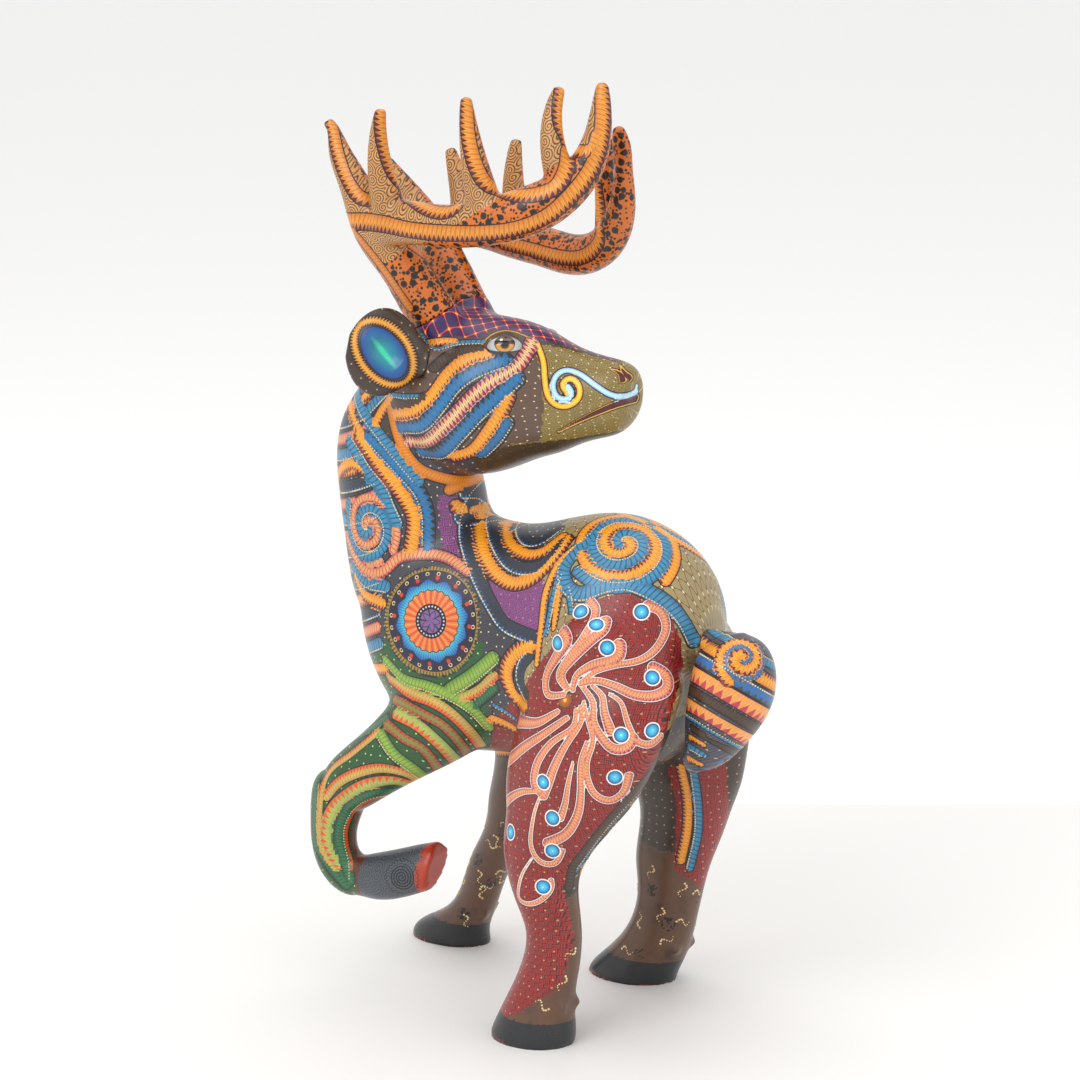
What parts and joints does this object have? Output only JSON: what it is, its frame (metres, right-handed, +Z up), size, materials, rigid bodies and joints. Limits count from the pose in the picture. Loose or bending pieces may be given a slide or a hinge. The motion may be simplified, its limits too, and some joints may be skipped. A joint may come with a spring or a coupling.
{
  "type": "painted carved wooden stag figure",
  "caption": "Standing carved wooden stag with a raised foreleg and its head turned back, painted all over in fine patterns; antlers, ears and tail pull off on pegs.",
  "frame": {"origin": "middle of the figure's bounding box, on the surface that it stands on", "axes": "+X is the way the body faces, +Y is the stag's own left, +Z is up"},
  "size_m": [0.328, 0.182, 0.6066],
  "materials": {
    "body_paint": "fine hand-painted acrylic patterns under satin lacquer",
    "neck_paint": "fine hand-painted acrylic patterns under satin lacquer",
    "head_paint": "fine hand-painted acrylic patterns under satin lacquer",
    "leg_paint": "fine hand-painted acrylic patterns under satin lacquer",
    "foreleg_paint": "fine hand-painted acrylic patterns under satin lacquer",
    "eye_lacquer": "painted in acrylics under a high-gloss lacquer",
    "bare_wood": "bare turned dowel wood",
    "antler_paint": "fine hand-painted acrylic patterns under satin lacquer",
    "ear_paint": "fine hand-painted acrylic patterns under satin lacquer",
    "tail_paint": "fine hand-painted acrylic patterns under satin lacquer"
  },
  "bodies": {
    "figure": {"torso": "body_paint", "neck": "neck_paint", "head": "head_paint", "left_hindleg": "leg_paint", "right_hindleg": "leg_paint", "left_foreleg": "foreleg_paint", "right_foreleg": "leg_paint", "right_eye": "eye_lacquer", "left_eye": "eye_lacquer", "neck_dowels": "bare_wood", "head_dowels": "bare_wood", "leg_dowels": "bare_wood"},
    "right_antler": {"right_antler": "antler_paint"},
    "left_antler": {"left_antler": "antler_paint"},
    "right_ear": {"right_ear": "ear_paint"},
    "left_ear": {"left_ear": "ear_paint"},
    "tail": {"tail": "tail_paint"}
  },
  "joints": [
    {"name": "right_antler_pull", "type": "slide", "parent": "figure", "child": "right_antler", "axis": [0.4884, 0.2093, 0.8472], "range_m": [0, 0.02]},
    {"name": "left_antler_pull", "type": "slide", "parent": "figure", "child": "left_antler", "axis": [0.5721, -0.3011, 0.7629], "range_m": [0, 0.02]},
    {"name": "right_ear_pull", "type": "slide", "parent": "figure", "child": "right_ear", "axis": [0.8026, 0.5618, 0.2006], "range_m": [0, 0.016]},
    {"name": "left_ear_pull", "type": "slide", "parent": "figure", "child": "left_ear", "axis": [0.7814, -0.6211, -0.0601], "range_m": [0, 0.016]},
    {"name": "tail_pull", "type": "slide", "parent": "figure", "child": "tail", "axis": [-1, 0, 0], "range_m": [0, 0.02]}
  ]
}
